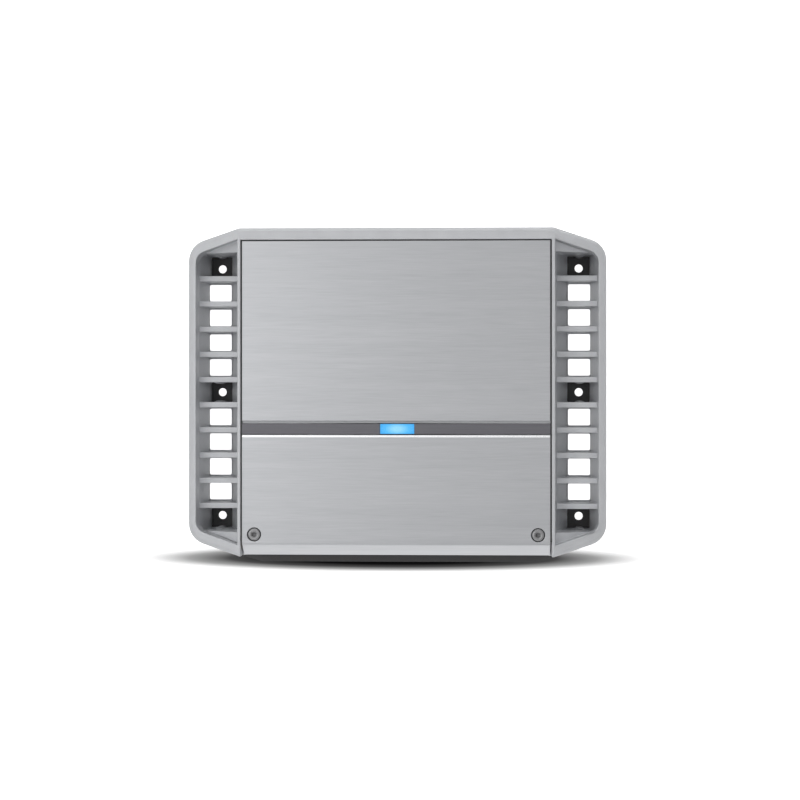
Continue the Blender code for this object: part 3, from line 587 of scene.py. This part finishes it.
def make_signal_jack(number):
    """A gold signal jack: a lipped shell round a coloured insulator with a gold contact."""
    node = f"rca_jack_{number}"
    low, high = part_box(node)
    length = (high.y - low.y) / MM
    outside = (high.x - low.x) / 2 / MM
    place = Matrix.Translation(((low.x + high.x) / 2, high.y, (low.z + high.z) / 2))
    place = place @ Matrix.Rotation(math.radians(90), 4, "X")
    inside = outside - JACK_WALL
    waist = outside - JACK_LIP
    shell = [(0, 0), (outside, 0), (outside, length - 0.9), (waist, length - 0.6)]
    shell += [(waist, length - 0.15), (outside - 0.4, length), (inside + 0.1, length)]
    shell += [(inside, length - 0.15), (inside, JACK_FLOOR), (0, JACK_FLOOR)]
    bm = turned(shell, 48, place)
    finish_piece(bm, f"{node}_shell", "gold", "chassis", (node,), edge=0.06)
    core = [(0, 1.3), (inside - 0.03, 1.3), (inside - 0.03, length - 1.3)]
    core += [(inside - 0.5, length - 1.0), (INSULATOR_BORE_R + 0.25, length - 1.0)]
    core += [(INSULATOR_BORE_R, length - 1.2), (INSULATOR_BORE_R, 2.5), (0, 2.5)]
    bm = turned(core, 40, place)
    upper = low.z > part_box("rca_housing")[0].z + UPPER_ROW_ABOVE
    colour = "white_insulator" if upper else "red_insulator"
    finish_piece(bm, f"signal_insulator_{number}", colour, "chassis", edge=0.05)
    contact = [(0, 2.4), (CONTACT_R, 2.4), (CONTACT_R, length - 1.6)]
    contact += [(CONTACT_BORE_R + 0.1, length - 1.5), (CONTACT_BORE_R, length - 1.7)]
    contact += [(CONTACT_BORE_R, 3.0), (0, 3.0)]
    bm = turned(contact, 32, place)
    finish_piece(bm, f"signal_contact_{number}", "gold", "chassis", edge=0.04)


CRIMP_DEEP = 0.7
LID_INSET = 1.35
SCORE_HALF_W = 0.2
SCORE_REACH = 0.7


def make_capacitor(number):
    """A can capacitor: a shrink sleeve with a crimp groove and a rolled top, and a scored lid."""
    node = f"supply_capacitor_{number}"
    low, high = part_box(node)
    radius = (high.x - low.x) / 2 / MM
    place, bottom, top = node_frame(node)
    crimp = radius - CRIMP_DEEP
    wall = [(0, bottom), (radius - 0.4, bottom), (radius, bottom + 0.5), (radius, bottom + 2.6)]
    wall += [(crimp, bottom + 3.2), (crimp, bottom + 3.6), (radius, bottom + 4.2)]
    wall += [(radius, top - 0.6), (radius - 0.2, top - 0.15), (radius - 0.7, top)]
    wall += [(radius - 1.2, top - 0.1), (radius - 1.3, top - 0.5), (0, top - 0.5)]
    bm = turned(wall, 48, place)
    finish_piece(bm, f"{node}_sleeve", "sleeve", "chassis", (node,), edge=0.0)
    rim = radius - LID_INSET
    lid = [(0, top - 0.6), (rim, top - 0.6), (rim, top - 0.25), (rim - 0.3, top - 0.15), (0, top - 0.15)]
    bm = turned(lid, steps=40)
    piece = finish_piece(bm, f"capacitor_lid_{number}", "aluminium_lid", "chassis", edge=0.0)
    reach = rim * SCORE_REACH
    cross = bmesh.new()
    add_block(cross, (-reach, -SCORE_HALF_W, top - 0.35), (reach, SCORE_HALF_W, top + 1))
    add_block(cross, (-SCORE_HALF_W, -reach, top - 0.34), (SCORE_HALF_W, reach, top + 1.1))
    carve(piece, cross)
    piece.data.transform(place)


WIRE_SHARE = 0.06
STEPS_PER_TURN = 6
TUBE_STEPS = 28
SWELL_POWER = 0.6


def make_winding(node, turns):
    """A ring core under its wire: the tube's radius rises and falls once for each turn of wire."""
    low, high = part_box(node)
    tube = (high.z - low.z) / 2
    ring = (high.x - low.x) / 2 - tube
    middle = (low + high) / 2
    wire = WIRE_SHARE * tube
    around = turns * STEPS_PER_TURN
    bm = bmesh.new()
    grid = []
    for step in range(around):
        angle = 2 * math.pi * step / around
        swell = abs(math.cos(turns * angle / 2)) ** SWELL_POWER
        reach = tube - wire * (1 - swell)
        row = []
        for part in range(TUBE_STEPS):
            slope = 2 * math.pi * part / TUBE_STEPS
            out = ring + reach * math.cos(slope)
            spot = (out * math.cos(angle), out * math.sin(angle), reach * math.sin(slope))
            row.append(bm.verts.new(middle + Vector(spot)))
        grid.append(row)
    for step in range(around):
        after = grid[(step + 1) % around]
        for part in range(TUBE_STEPS):
            beyond = (part + 1) % TUBE_STEPS
            corners = (grid[step][part], after[part], after[beyond], grid[step][beyond])
            bm.faces.new(corners)
    finish_piece(bm, f"{node}_winding", "copper", "chassis", (node,), edge=0.0)


LINER_T = 0.5
LINER_SET_BACK = 1.6
LINER_BACK_GAP = 1.0


def make_port_liner(opening):
    """The nickel cage that lines a wire port, set back a little from the block's face."""
    low, high = [Vector(corner) / MM for corner in opening["box_m"]]
    y = (low.y + LINER_SET_BACK, high.y - LINER_BACK_GAP)
    bm = bmesh.new()
    for x in ((low.x, low.x + LINER_T), (high.x - LINER_T, high.x)):
        add_block(bm, (x[0], y[0], low.z), (x[1], y[1], high.z))
    for z in ((low.z, low.z + LINER_T), (high.z - LINER_T, high.z)):
        add_block(bm, (low.x + LINER_T, y[0], z[0]), (high.x - LINER_T, y[1], z[1]))
    finish_piece(bm, f"{opening['name']}_liner", "nickel", "chassis", edge=0.08)


for opening in frame["record"]["physics"]["openings"]:
    if "_port_" in opening["name"]:
        make_port_liner(opening)


# painted shade: a black strip set in the gap round the top plate darkens it as the shade in that gap
GAP_SHADE_CLEARANCE = 0.06
GAP_SHADE_SIDE_W = 0.85
GAP_SHADE_REAR_W = 0.75
GAP_SHADE_FRONT_Y = -95.0
GAP_SHADE_BELOW_TOP = 1.0


def make_gap_shade():
    """A black strip beside the top plate and the cover, and behind the top plate: painted shade that fills
    the dark gap round the plate.
    """
    plate_low, plate_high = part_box("top_plate")
    low, high = plate_low.z / MM - 0.2, plate_high.z / MM - GAP_SHADE_BELOW_TOP
    x, rear = plate_high.x / MM, plate_high.y / MM
    bm = bmesh.new()
    for side in (-1, 1):
        across = sorted((side * (x + GAP_SHADE_CLEARANCE), side * (x + GAP_SHADE_SIDE_W)))
        add_block(bm, (across[0], GAP_SHADE_FRONT_Y, low), (across[1], rear + GAP_SHADE_REAR_W, high))
    add_block(bm, (-x - GAP_SHADE_CLEARANCE, rear + GAP_SHADE_CLEARANCE, low), (x + GAP_SHADE_CLEARANCE, rear + GAP_SHADE_REAR_W, high))
    finish_piece(bm, "plate_gap_shade", "black_plastic", "chassis", edge=0.05)


# painted highlight: a strip of brighter metal along the cover's rear edge stands in for its highlight line
HIGHLIGHT_EDGE_W = 1.3
HIGHLIGHT_EDGE_INSET = (0.3, 0.15)
HIGHLIGHT_EDGE_PROUD = 0.06


def make_painted_highlight_edge():
    """A strip of brighter metal along the back of the front cover: a painted highlight for the light that
    the cover's rear edge catches.
    """
    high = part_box("front_cover")[1]
    x, rear = high.x / MM - HIGHLIGHT_EDGE_INSET[0], high.y / MM - HIGHLIGHT_EDGE_INSET[1]
    top = high.z / MM
    bm = bmesh.new()
    add_block(bm, (-x, rear - HIGHLIGHT_EDGE_W, top - 0.3), (x, rear, top + HIGHLIGHT_EDGE_PROUD))
    finish_piece(bm, "cover_painted_highlight_edge", "painted_highlight_edge", "front_cover", edge=0.05)


TRANSFORMER_TURNS = 72
CHOKE_TURNS = 36

make_gap_shade()
make_painted_highlight_edge()
for side in ("left", "right"):
    make_cover_screw(side)
for word in ("gain", "crossover", "bass"):
    make_knob(word)
    make_dial(word)
for number in range(1, 5):
    make_signal_jack(number)
    make_capacitor(number)
make_winding("power_transformer", TRANSFORMER_TURNS)
make_winding("output_choke", CHOKE_TURNS)


# Camera, floor and lights. Places and sizes are in metres.

CAMERA_X = 0.060
CAMERA_ABOVE_TOP = 1.154
CAMERA_TILT = math.radians(2.0)
SENSOR_MM = 36.0
LENS_MM = 82.0
SHIFT = (-0.0334, -0.0098)
TOP_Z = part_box("heatsink_chassis")[1].z
STAGE_HALF = 12
FLOOR_Z = -0.0006
FLOOR_LEVEL = 1.05
BACKDROP_LEVEL = 1.0
SHADOW_AT = (-0.005, -0.1107, 0)
SHADOW_REACH = (0.218, 0.0114, 1)
SHADOW_LEVELS = ((0.0, 1), (0.125, 0.90), (0.25, 0.60), (0.375, 0.22), (0.5, 0.04), (0.66, 0))
CARD_X = (-0.7, 0.7)
CARD_Y = (-1.2, -0.125)
CARD_Z = -0.0003
CARD_LEVEL = 1.55
WORLD_LEVEL = 0.10
LIGHTS_AIM = (0, 0, 0.05)
# Name, place, size and power in watts
LIGHTS = (
    ("overhead", (0, 0, 1.9), (2.2, 2.2), 14),
    ("left", (-0.9, 0.1, 1.5), (0.8, 1.4), 5),
    ("rear", (0, 1.4, 0.8), (1.8, 1.0), 7),
    ("front", (-0.1, -1.3, 1.1), (1.6, 0.6), 4),
)


def add_camera():
    data = bpy.data.cameras.new("camera")
    data.lens = LENS_MM
    data.sensor_width = SENSOR_MM
    data.shift_x, data.shift_y = SHIFT
    camera = bpy.data.objects.new("camera", data)
    camera.location = (CAMERA_X, 0, TOP_Z + CAMERA_ABOVE_TOP)
    camera.rotation_euler = (0, CAMERA_TILT, 0)
    bpy.context.scene.collection.objects.link(camera)
    bpy.context.scene.camera = camera


def add_area(name, location, size, power):
    """A rectangular lamp that faces the object."""
    data = bpy.data.lights.new(name, "AREA")
    data.shape = "RECTANGLE"
    data.size, data.size_y = size
    data.energy = power
    light = bpy.data.objects.new(name, data)
    light.location = location
    aim = Vector(LIGHTS_AIM) - Vector(location)
    light.rotation_euler = aim.to_track_quat("-Z", "Y").to_euler()
    bpy.context.scene.collection.objects.link(light)


def stage_plane(name, x, y, z, material):
    bm = bmesh.new()
    corners = [(x[0], y[0]), (x[1], y[0]), (x[1], y[1]), (x[0], y[1])]
    bm.faces.new([bm.verts.new((a, b, z)) for a, b in corners])
    mesh = bpy.data.meshes.new(name)
    bm.to_mesh(mesh)
    bm.free()
    mesh.materials.append(material)
    plane = bpy.data.objects.new(name, mesh)
    bpy.context.scene.collection.objects.link(plane)
    return plane


def glowing(name, level):
    """A material that only gives off white light."""
    made = new_material(name, (0, 0, 0), metallic=0.0, roughness=1.0, Specular_IOR_Level=0.0)
    shader_of(made).inputs["Emission Color"].default_value = (1, 1, 1, 1)
    shader_of(made).inputs["Emission Strength"].default_value = level
    return made


def add_floor():
    """A white floor that matt surfaces don't see, with a soft shadow painted along the front edge."""
    floor = new_material("floor", (0.9, 0.9, 0.9), metallic=0.0, roughness=0.7, Specular_IOR_Level=0.1)
    stops = [(position, (level, level, level)) for position, level in SHADOW_LEVELS]
    shade = gradient_ball(floor, SHADOW_AT, SHADOW_REACH, stops)
    for socket in ("Base Color", "Emission Color"):
        floor.node_tree.links.new(shade, shader_of(floor).inputs[socket])
    shader_of(floor).inputs["Emission Strength"].default_value = FLOOR_LEVEL
    across = (-STAGE_HALF, STAGE_HALF)
    plane = stage_plane("floor", across, across, FLOOR_Z, floor)
    plane.visible_diffuse = False


def add_backdrop():
    """Four white walls, for views from the side."""
    backdrop = glowing("backdrop", BACKDROP_LEVEL)
    for turn in range(4):
        name = f"backdrop_{turn + 1}"
        wall = stage_plane(name, (-STAGE_HALF, STAGE_HALF), (0, STAGE_HALF), -STAGE_HALF, backdrop)
        wall.rotation_euler = (math.radians(90), 0, math.radians(90 * turn))
        wall.visible_diffuse = False
        wall.visible_shadow = False


def add_card():
    """A card in front, which the camera doesn't see and the cover's lip mirrors."""
    card = stage_plane("front_card", CARD_X, CARD_Y, CARD_Z, glowing("front_card", CARD_LEVEL))
    card.visible_camera = False
    card.visible_diffuse = False
    card.visible_shadow = False


def add_lights():
    world = bpy.data.worlds.new("studio")
    bpy.context.scene.world = world
    world.use_nodes = True
    background = world.node_tree.nodes["Background"]
    background.inputs["Color"].default_value = (1, 1, 1, 1)
    background.inputs["Strength"].default_value = WORLD_LEVEL
    for name, location, size, power in LIGHTS:
        add_area(name, location, size, power)
    bpy.context.scene.view_settings.view_transform = "Standard"


add_camera()
add_floor()
add_backdrop()
add_card()
add_lights()

bpy.context.view_layer.update()
